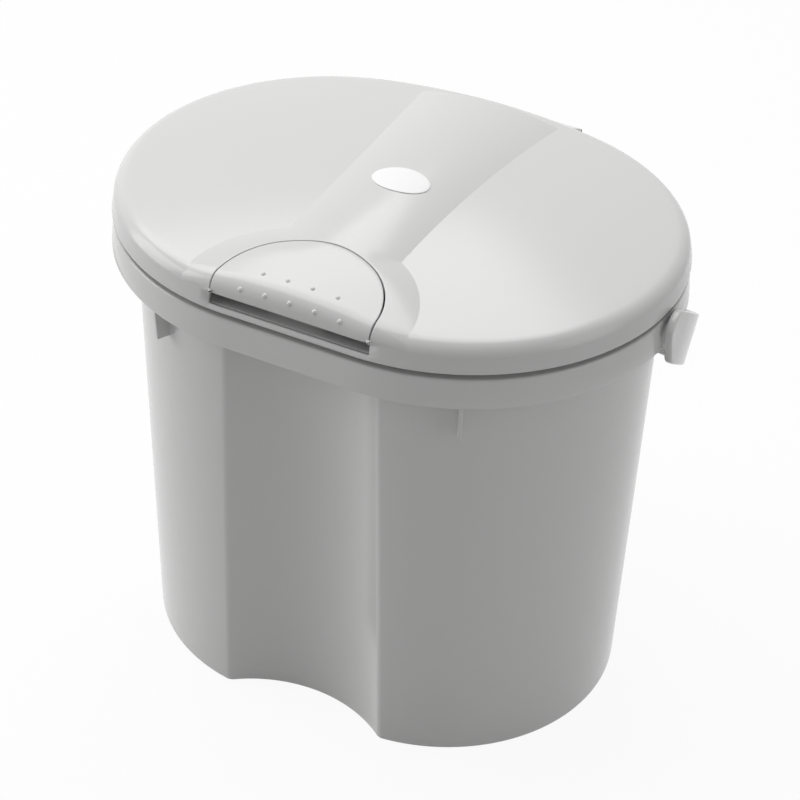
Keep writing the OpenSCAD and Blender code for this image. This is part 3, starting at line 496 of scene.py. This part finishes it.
COLLAR = WALL + 2 * SEAT_GAP
ring_piece("bag_ring_band", [
    (RIM_Z + SEAT_GAP + RING_T, COLLAR + RING_T, RIM_Z),
    (RIM_Z - RING_DEPTH, COLLAR + RING_T, RIM_Z - RING_DEPTH),
    (RIM_Z - RING_DEPTH, COLLAR, RIM_Z - RING_DEPTH),
    (RIM_Z + SEAT_GAP, COLLAR, RIM_Z),
    (RIM_Z + SEAT_GAP, WALL - RING_FLANGE, RIM_Z),
    (RIM_Z + SEAT_GAP + RING_T, WALL - RING_FLANGE, RIM_Z)], body_plastic, "base", ["bag_ring"])
LINER_Z = LID_Z + LINER_RISE
low = RIM_Z + 2 * SEAT_GAP + RING_T
ring_piece("seal_band", [
    (LINER_Z, WALL - 1, RIM_Z), (low + 0.7, WALL - 1, RIM_Z), (low, WALL - 1.7, RIM_Z),
    (low, WALL - SEAL_W - 0.3, RIM_Z), (low + 0.7, WALL - SEAL_W - 1, RIM_Z),
    (LINER_Z, WALL - SEAL_W - 1, RIM_Z)], seal_rubber, "lid", ["lid_seal"], "seal_rubber")


# ---- Lid surfaces ----------------------------------------------------------------------------

def top_z(x, y):
    """Lid's top beside the spine: an edge that falls evenly to the back, plus a crowned cap
    1 - (x / a)^2 - (y / b)^2."""
    return (LID_Z + LID_SIDE - LID_TILT * y / END_R
            + LID_CROWN * (1 - (x / RIM_SIDE) ** 2 - (y / END_R) ** 2))


def spine_half(y):
    """Spine's half width: a circle about the button, then a waist that widens as a square."""
    field = np.sqrt(np.maximum(FIELD_R ** 2 - np.maximum(y - BUTTON_Y, 0) ** 2, 1))
    waist = WAIST + (HINGE_HALF - WAIST) * ((y - SPINE_JOIN) / (HOOD_START - SPINE_JOIN)) ** 2
    return np.where(y < SPINE_JOIN, field, waist)


def edge_distance(x, y):
    """Distance in from the edge of the field, whose circle ends at the corners of the waist."""
    behind = np.maximum(y - BUTTON_Y, 0)
    away = np.hypot(x, behind)
    corner = np.hypot(np.abs(x) - WAIST, y - SPINE_JOIN)
    on_circle = behind * FIELD_R < (SPINE_JOIN - BUTTON_Y) * np.maximum(away, 1e-6)
    return np.where(on_circle, np.minimum(FIELD_R - away, corner), corner)


def spine_z(x, y):
    """Spine's top: an arch 1 - (x / half width)^2 above the lid. Behind the button it eases, as
    3 k^2 - 2 k^3, into 1 - (1 - d / w)^2 of the distance d from the edge, so that it runs into the
    waist without a fold."""
    arch = 1 - (x / spine_half(y)) ** 2
    k = np.clip((y - BUTTON_Y) / (SPINE_JOIN - BUTTON_Y), 0, 1)
    ease = np.where(y < SPINE_JOIN, k * k * (3 - 2 * k), 0)
    even = 1 - (1 - np.minimum(edge_distance(x, y) / WAIST, 1)) ** 2
    return top_z(x, y) + SPINE_RISE * (arch * (1 - ease) + even * ease)


def hood_top(x, y):
    """Hood's top: straight lines from the end of the spine to the level rear edge."""
    k = (y - HOOD_START) / (HOOD_Y - HOOD_START)
    return spine_z(x, np.full_like(x, HOOD_START)) * (1 - k) + HOOD_Z * k


def roll(e, r):
    """Drop of a quarter-round edge of radius r at distance e in from its face."""
    return np.where(e >= r, 0, r - np.sqrt(np.maximum(r * r - (r - e) ** 2, 0)))


def face_y(x):
    """Lid's front face at the top of its side: straight, then the end arcs."""
    q = np.maximum(np.abs(x) - FLAT_HALF, 0)
    return -np.sqrt(np.maximum(FACE_R ** 2 - q * q, 0))


def lid_ring(inset, drop):
    """Ring on the lid at an inset from its lower edge and a drop below its top."""
    o = oval(inset - LID_OVER)
    return at_height(o, top_z(o[:, 0], o[:, 1]) - drop)


SLOT_HALF = BUTTON_R + BUTTON_GAP


def lid_skin():
    """Rings from the lid's lower edge up its leaning side, over its rounding and in to the middle.
    The button's slot and the ground under its field are left open."""
    sill = LID_Z + SILL_H
    lean = lambda z: LID_LEAN * (z - LID_Z) / (LID_SIDE - LID_ROUND)
    rows = [at_height(oval(0.5 - LID_OVER), LID_Z), at_height(oval(0.15 - LID_OVER), LID_Z + 0.15),
            at_height(oval(lean(LID_Z + 0.5) - LID_OVER), LID_Z + 0.5),
            at_height(oval(lean(sill) - LID_OVER), sill)]
    turn = np.radians(np.linspace(0, 90, 12))
    rows += [lid_ring(LID_LEAN + LID_ROUND * (1 - np.cos(t)), LID_ROUND * (1 - np.sin(t)))
             for t in turn]
    edge = oval(LID_LEAN + LID_ROUND - LID_OVER)
    for k in np.linspace(1, 0, 30, endpoint=False)[1:]:
        o = edge * k
        rows.append(at_height(o, top_z(o[:, 0], o[:, 1])))

    def kept(c):
        away = np.hypot(c[:, 0], c[:, 1] - BUTTON_Y)
        slot = (np.abs(c[:, 0]) < SLOT_HALF) & (c[:, 1] < BUTTON_Y) & (c[:, 2] > sill)
        return ~(slot | (away < SLOT_HALF + 3) & (c[:, 2] > sill))
    return Shell().grid(rows, wrap=True, keep=kept, last=(0, 0, float(top_z(0, 0))))


lid_skin().piece("lid_skin", body_plastic, "lid", ["lid_shell"], wall=LID_T)


def on_spine(p, lower=0.0):
    """Points of a plan lifted onto the spine's top, which rolls down at the lid's front face."""
    x, y = p[:, 0], p[:, 1]
    return np.column_stack([p, spine_z(x, y) - roll(y - face_y(x), LID_ROUND) - lower])


WAIST_EDGE = np.sqrt((FIELD_R + SPINE_DIP) ** 2 - (SPINE_JOIN - BUTTON_Y) ** 2)
WAIST_X = np.linspace(-WAIST_EDGE, WAIST_EDGE, 49)
DROPS = (0, 1.6, 3.2, 4.8)


def field():
    """Field round the button: rows from the button's gap out to the field's circle, or to the line
    where the waist begins. The gap's edge is a small quarter turn."""
    corner = np.arctan2(SPINE_JOIN - BUTTON_Y, WAIST_EDGE)
    a = np.concatenate([np.linspace(np.pi, np.pi - corner, 20)[:-1],
                        np.arctan2(SPINE_JOIN - BUTTON_Y, WAIST_X),
                        np.linspace(corner, 0, 20)[1:]])
    turned = np.stack([np.cos(a), np.sin(a)], 1)
    reach = np.minimum(FIELD_R + SPINE_DIP,
                       (SPINE_JOIN - BUTTON_Y) / np.maximum(turned[:, 1], 1e-6))
    n = 14

    def plan(radius, far):
        y = np.linspace(face_y(np.array([radius]))[0], BUTTON_Y, n, endpoint=False)
        left = np.stack([np.full(n, -radius), y], 1)
        return np.concatenate([left, [0, BUTTON_Y] + turned * far, left[::-1] * [-1, 1]])
    inner, outer = plan(SLOT_HALF, SLOT_HALF), plan(FIELD_R + SPINE_DIP, reach[:, None])
    lip = 0.2
    rows = [on_spine(inner, lip + d) for d in DROPS[::-1]]
    out = (outer - inner) / np.linalg.norm(outer - inner, axis=1)[:, None]
    rows += [on_spine(inner + out * lip * (1 - np.cos(t)), lip * (1 - np.sin(t)))
             for t in np.radians([30, 60, 90])]
    start = inner + out * lip
    rows += [on_spine(start + (outer - start) * k) for k in np.linspace(0, 1, 22)[1:]]
    return np.array(rows)


def field_front(rows, side):
    """Front face of the field beside the button, from the field's rolled edge down into the
    lid's side."""
    edge = rows[len(DROPS) - 1:, 0 if side < 0 else -1]
    return [edge + [0, 0, -d] for d in DROPS]


def spine_rows():
    """Rows across the spine from the waist to the hood. The first is the last of the field."""
    rows = []
    for y in np.linspace(SPINE_JOIN, HOOD_START, 60):
        half = WAIST_EDGE if y == SPINE_JOIN else float(spine_half(np.array(y))) + SPINE_DIP
        x = WAIST_X / WAIST_EDGE * half
        rows.append(on_spine(np.stack([x, np.full_like(x, y)], 1)))
    return rows


def hood_rows():
    """Rows across the hood: its sloping top, a small turn at its rear edge, and its rear lip."""
    x = np.linspace(-1, 1, len(WAIST_X))
    level = np.ones(len(x))
    rows = []
    for y in np.linspace(HOOD_START, HOOD_Y - 0.8, 18):
        half = HINGE_HALF + SPINE_DIP * max(0, 1 - (y - HOOD_START) / 4)
        rows.append(np.column_stack([x * half, level * y, hood_top(x * half, level * y)]))
    for y, z in ((HOOD_Y - 0.15, HOOD_Z - 0.1), (HOOD_Y, HOOD_Z - 0.7),
                 (HOOD_Y, HOOD_Z - HOOD_LIP)):
        rows.append(np.column_stack([x * HINGE_HALF, level * y, level * z]))
    return rows


spine = Shell()
rows = field()
spine.grid(rows)
for side in (-1, 1):
    spine.grid(field_front(rows, side), flip=side > 0)
spine.grid(spine_rows())
spine.grid(hood_rows())
spine.piece("lid_spine", body_plastic, "lid", wall=LID_T, angle=40, even=False)

cheek_r = HINGE_BACK - SKIRT_LEAN - 1
front = BACK_C + np.sqrt(BACK_R ** 2 - HINGE_HALF ** 2) - LID_T / 2
t = np.radians(np.linspace(180, 310, 24))
edge = np.array([front, HINGE_Y - cheek_r])
cheeks = Shell()
outline = np.concatenate([
    [(front, LID_Z + 0.75), (HINGE_Y - cheek_r, LID_Z + 0.75)],
    np.stack([HINGE_Y + cheek_r * np.cos(t), HINGE_Z + cheek_r * np.sin(t)], 1),
    [(HOOD_Y, HOOD_Z - HOOD_LIP), (HOOD_Y, HOOD_Z - 0.6),
     (HOOD_Y - 0.8, hood_top(np.array([HINGE_HALF]), HOOD_Y - 0.8)[0] - 0.02),
     (front, hood_top(np.array([HINGE_HALF]), front)[0] - 0.02)]])
for x in (-HINGE_HALF, HINGE_HALF - HOOD_T):
    cheeks.prism(outline, side_view, (x, x + HOOD_T))
web = {"sweep": np.linspace(-180, 0, 30),
       "corners": [(HINGE_Y + 4.4, HINGE_Z + 2), (HINGE_Y + 4.4, 274.0), (HINGE_Y - 4.4, 279.3),
                   (HINGE_Y - 4.4, HINGE_Z + 2)]}
for i in (-1, 1):
    x = (i - 0.5) * KNUCKLE_W + KNUCKLE_GAP / 2
    cheeks.prism(knuckle_drawing(web), side_view, (x, x + KNUCKLE_W - KNUCKLE_GAP))
cheeks.piece("hood_cheeks", body_plastic, "lid", outwards=True, bevel=0.25)


# ---- Lid liner -------------------------------------------------------------------------------

def liner():
    """Flat plate under the lid, with a collar that follows the bag ring's inside."""
    edge = LID_T - LID_OVER + LID_LEAN / 2 + SEAT_GAP
    gap = COLLAR + RING_T + 2 * FREE_GAP
    low = RIM_Z - PLUG_DEPTH
    outer = oval(edge)
    shell = Shell().grid([
        wall_ring(LINER_Z, gap + LINER_T, RIM_Z), wall_ring(low + 0.4, gap + LINER_T, RIM_Z),
        wall_ring(low, gap + LINER_T - 0.4, RIM_Z), wall_ring(low, gap + 0.4, RIM_Z),
        wall_ring(low + 0.4, gap, RIM_Z), wall_ring(LINER_Z, gap, RIM_Z),
        at_height(outer, LINER_Z), at_height(outer, LINER_Z + LINER_T)], wrap=True,
        first=(0, 0, LINER_Z), last=(0, 0, LINER_Z + LINER_T))
    return shell


liner().piece("liner_plate", body_plastic, "lid", ["lid_liner"], outwards=True)


# ---- Button and latch ------------------------------------------------------------------------

def edge_radius(x):
    """Rounding of the button's front edge: smaller towards its corners, where its top is lower."""
    return np.minimum(BUTTON_ROUND, spine_z(x, np.full_like(x, -FACE_R)) - LIP_Z - BUTTON_T / 2)


def button_top(p):
    """Points of a plan lifted onto the button's top, which rolls down at its front face."""
    x, y = p[:, 0], p[:, 1]
    return np.column_stack([p, spine_z(x, y) - roll(y - face_y(x), edge_radius(x))])


def button_plan(radius, n=90, m=40):
    """Grid of the button's plan: columns x = -r cos(a), rows from the front face to the back
    circle, closer together near the front, where the top rolls down."""
    x = -radius * np.cos(np.linspace(0, np.pi, n))
    front = face_y(x)
    back = BUTTON_Y + np.sqrt(np.maximum(radius ** 2 - x * x, 0))
    k = np.linspace(0, 1, m)[:, None] ** 1.6
    return np.stack([np.broadcast_to(x, (m, n)), front + (back - front) * k], 2)


def round_plan(plan):
    """Outline of a plan's grid: up its left side, along its back, down its right side and back
    along its front."""
    return np.concatenate([plan[:-1, 0], plan[-1, :-1], plan[:0:-1, -1], plan[0, :0:-1]])


def button_rows(radius):
    """Rows down from the top's outline: a small quarter turn, the sides, and the lower edge, which
    turns up at the two front corners."""
    lip, corner = 0.2, 2.0
    plan = button_plan(radius - lip)
    inner = round_plan(plan)
    front = np.zeros(len(inner), bool)
    front[-plan.shape[1] + 1:] = True
    front[0] = True
    out = inner - [0, BUTTON_Y]
    out[:, 1] = np.maximum(out[:, 1], 0)
    out /= np.maximum(np.linalg.norm(out, axis=1), 1e-6)[:, None]
    out[front & (np.abs(inner[:, 0]) < radius - lip - 0.01)] = 0
    side = np.abs(out).sum(1) > 0
    rows = [button_top(inner) + np.column_stack(
        [out * lip * np.sin(t), -lip * (1 - np.cos(t)) * side]) for t in np.radians([0, 45, 90])]
    last = rows[-1]
    e = np.clip(radius - np.abs(last[:, 0]), 0, corner)
    f = np.clip(last[:, 1] - face_y(last[:, 0]), 0, corner)
    turn = corner - np.sqrt(np.maximum(corner ** 2 - (corner - np.where(front, e, f)) ** 2, 0))
    low = last.copy()
    low[:, 2] = LIP_Z + turn
    rows += [last + (low - last) * k for k in (0.06, 0.5, 1)]
    return button_top(plan.reshape(-1, 2)).reshape(*plan.shape[:2], 3), rows


def grip_dots():
    """Low domes in two rows along the button's front: z = r cos(a) over rings of radius r sin(a)."""
    shell = Shell()
    t = np.linspace(0, 2 * np.pi, 24, endpoint=False)
    for row in (0, 1):
        for i in range(5 - row):
            x = (i - (4 - row) / 2) * DOT_PITCH
            e = BUTTON_ROUND / 6 if row == 0 else BUTTON_ROUND * 1.4
            y = float(face_y(np.array([x]))[0]) + e
            here = button_top(np.array([[x, y], [x + 0.1, y], [x, y + 0.1]]))
            across, along = here[1] - here[0], here[2] - here[0]
            across /= np.linalg.norm(across)
            up = np.cross(across, along)
            up /= np.linalg.norm(up)
            along = np.cross(up, across)
            circle = np.outer(np.cos(t), across) + np.outer(np.sin(t), along)
            rings = [here[0] - up * DOT_R * 0.4 + DOT_R * np.sin(a) * circle
                     + DOT_R * np.cos(a) * up for a in np.radians([85, 70, 55, 40, 25, 12])]
            shell.grid(rings, wrap=True, last=here[0] + up * DOT_R * 0.6)
    return shell


top, sides = button_rows(BUTTON_R)
Shell().grid(top).grid(sides, wrap=True).piece(
    "button_cap", body_plastic, "button", ["release_button"], wall=BUTTON_T, even=False)
grip_dots().piece("grip_dots", body_plastic, "button")


# ---- Label -----------------------------------------------------------------------------------

def label():
    """Oval film that follows the spine's arch: rings of a growing ellipse, with a rounded rim."""
    t = np.linspace(0, 2 * np.pi, 96, endpoint=False)
    rows = []
    for k, h in [(1, 0.0), (1, 0.8), (0.985, 1.0)] + [(s, 1.0) for s in np.linspace(0.9, 0.1, 9)]:
        x, y = k * LABEL_L / 2 * np.cos(t), k * LABEL_W / 2 * np.sin(t)
        rows.append(np.column_stack([x, y, spine_z(x, y) + SEAT_GAP / 2 + h * LABEL_T]))
    top = float(spine_z(np.zeros(1), np.zeros(1))[0]) + SEAT_GAP / 2 + LABEL_T
    return Shell().grid(rows, wrap=True, last=(0, 0, top))


label().piece("label_film", label_film, "lid", ["label"], "label_film", outwards=True)


# ---- Handle ----------------------------------------------------------------------------------

BAND_MID = HOOP_R + BAND_T / 2
JOIN = ARM + 5.0
STEM = HOOP_R + SOCKET_T - (RIM_SIDE + SKIRT_LEAN * 0.44 - WALL) + 1.0


def on_band(s, w, t, side):
    """Point of the band: s along it from the pivot, w across it and t out from its inner face.
    It runs straight as far as ARM, then round a half circle, and is turned down to where it is
    stowed."""
    s, w, t = np.broadcast_arrays(np.asarray(s, float), w, t)
    a = np.maximum(s - ARM, 0) / BAND_MID
    r = HOOP_R + t
    x, y = r * np.cos(a), np.where(s > ARM, ARM + r * np.sin(a), s)
    c, d = np.cos(np.radians(STOW)), np.sin(np.radians(STOW))
    return np.stack([side * x, y * c + w * d - PIVOT_FWD, w * c - y * d + PIVOT_Z], -1)


def rounded_section(h, c=1.0, count=5):
    """Closed loop round the band's section: a rectangle with its corners turned by radius c."""
    loop = []
    for cx, cy, a0 in ((1, 1, 0), (-1, 1, 90), (-1, -1, 180), (1, -1, 270)):
        for a in np.radians(np.linspace(a0, a0 + 90, count)):
            loop.append((cx * (BAND_T / 2 - c) + c * np.cos(a) + BAND_T / 2,
                         cy * (h - c) + c * np.sin(a)))
    return np.array(loop)


def end_outline():
    """Closed outline of the band's end in (s, w): round above its tip and cut back below it. Its
    corners are cut off three times over, which turns them into curves."""
    h = BAND_W / 2
    a = np.radians(np.arange(85, -1, -15))
    top = np.stack([TAIL_ROUND * (1 - np.cos(a)) - TAIL, TIP_UP + (h - TIP_UP) * np.sin(a)], 1)
    line = np.concatenate([[[JOIN, h], [TAIL_ROUND - TAIL, h]], top,
                           [[-TAIL, 0], [TAIL * 0.1, -0.87 * h], [ARM, -h], [JOIN, -h]]])
    for _ in range(3):
        a, b = line[:-1], line[1:]
        cut = np.stack([a * 0.75 + b * 0.25, a * 0.25 + b * 0.75], 1).reshape(-1, 2)
        line = np.concatenate([line[:1], cut, line[-1:]])
    w = np.linspace(-h, h, 9)[1:-1]
    return np.concatenate([line, np.stack([np.full(7, JOIN), w], 1)]), len(line)


def band_end(side):
    """End plate: rings from the middle of its outer face over its rounded rim, in to the socket and
    down the peg to its snap head."""
    line, n = end_outline()
    before, after = np.roll(line, 1, 0), np.roll(line, -1, 0)
    along = after - before
    inward = np.stack([-along[:, 1], along[:, 0]], 1) / np.linalg.norm(along, axis=1)[:, None]
    inward[n:] = 0
    inward[0], inward[n - 1] = (0, -1), (0, 1)
    c = 1.0
    ring = lambda inset, t: on_band(*(line + inward * inset).T, t, side)
    turn = np.radians(np.linspace(0, 90, 5))
    rows = [on_band(*((line + inward * c) * k).T, BAND_T, side) for k in (0.3, 0.6, 0.85)]
    rows += [ring(c * (1 - np.sin(t)), BAND_T - c * (1 - np.cos(t))) for t in turn]
    rows += [ring(c * (1 - np.cos(t)), c * (1 - np.sin(t))) for t in turn]
    a = np.arctan2(line[:, 1], line[:, 0])
    head = 0.7 * PEG_R
    for r, t in ((BOSS_R + 0.5, 0), (BOSS_R + 0.5, SOCKET_T), (PEG_R, SOCKET_T),
                 (PEG_R, SOCKET_T - STEM), (PEG_R + SNAP, SOCKET_T - STEM),
                 (PEG_R - SNAP, SOCKET_T - STEM - head)):
        rows.append(on_band(r * np.cos(a), r * np.sin(a), t, side))
    return rows, on_band(0, 0, BAND_T, side), on_band(0, 0, SOCKET_T - STEM - head, side)


def handle():
    """The bow, a band's section carried round the half circle, and the two ends."""
    shell = Shell()
    section = rounded_section(BAND_W / 2)
    length = ARM + np.pi * BAND_MID
    rows = [on_band(s, section[:, 1], section[:, 0], 1)
            for s in np.linspace(JOIN, length - JOIN + ARM, 141)]
    shell.grid(rows, wrap=True, first=rows[0].mean(0), last=rows[-1].mean(0))
    for side in (-1, 1):
        rows, top, tip = band_end(side)
        shell.grid(rows, wrap=True, first=top, last=tip)
    return shell


handle().piece("handle_band", body_plastic, "handle", ["carry_handle", "handle_ends"],
               outwards=True)

for node, finish in (("hinge_pin", bright_steel), ("button_pin", bright_steel),
                     ("return_spring", bright_steel), ("latch_hook", body_plastic)):
    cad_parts[node].data.materials.clear()
    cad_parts[node].data.materials.append(finish)


# ---- Floor, light and background -------------------------------------------------------------

def white_ground():
    """Floor that shows white to the camera and in reflections, keeps the bin's soft shadow, and
    throws only a little light back up."""
    f = Finish("white_ground")
    seen = f.seen()
    shade = f.node("ShaderNodeBsdfDiffuse", None, {"Color": (0.95, 0.95, 0.95, 1)})
    glow = f.node("ShaderNodeEmission", None, {"Color": (1, 1, 1, 1), "Strength": 1.0})
    white = f.node("ShaderNodeMixShader", None, {0: 0.92, 1: shade, 2: glow})
    dim = f.node("ShaderNodeBsdfDiffuse", None, {"Color": (0.55, 0.55, 0.55, 1)})
    mix = f.node("ShaderNodeMixShader", None, {0: seen, 1: dim, 2: white})
    f.node("ShaderNodeOutputMaterial", None, {"Surface": mix})
    return f.material


def plane(name, size, height, finish):
    """Level square at a height, which belongs to the stage and not to the part."""
    mesh = bpy.data.meshes.new(name)
    mesh.from_pydata([(-size, -size, height), (size, -size, height), (size, size, height),
                      (-size, size, height)], [], [(0, 1, 2, 3)])
    mesh.materials.append(finish)
    made = bpy.data.objects.new(name, mesh)
    bpy.context.scene.collection.objects.link(made)


plane("floor", 6.0, -0.0005, white_ground())


def soft_light(name, place, target, size, power):
    """Soft box of the given width and height that faces its target."""
    data = bpy.data.lights.new(name, "AREA")
    data.shape, data.size, data.size_y, data.energy = "RECTANGLE", size[0], size[1], power
    made = bpy.data.objects.new(name, data)
    place, target = Vector(place), Vector(target)
    turn = (place - target).to_track_quat("Z", "Y").to_matrix().to_4x4()
    made.matrix_world = Matrix.Translation(place) @ turn
    bpy.context.scene.collection.objects.link(made)


soft_light("top", (-0.55, 0.45, 1.75), (0, 0, 0.25), (1.7, 1.7), 22.5)
soft_light("left", (-1.7, -0.6, 0.7), (0, 0, 0.15), (1.0, 1.4), 11)
soft_light("right", (1.8, -0.1, 0.5), (0, 0, 0.15), (1.0, 1.4), 4)

studio = Finish("studio", bpy.data.worlds)
bpy.context.scene.world = studio.material
soft, white = (studio.node("ShaderNodeBackground", None, {"Color": (1, 1, 1, 1), "Strength": k})
               for k in (0.3, 1.0))
studio.node("ShaderNodeOutputWorld", None, {"Surface": studio.node(
    "ShaderNodeMixShader", None, {0: studio.seen(), 1: soft, 2: white})})

bpy.context.scene.view_settings.view_transform = "Standard"
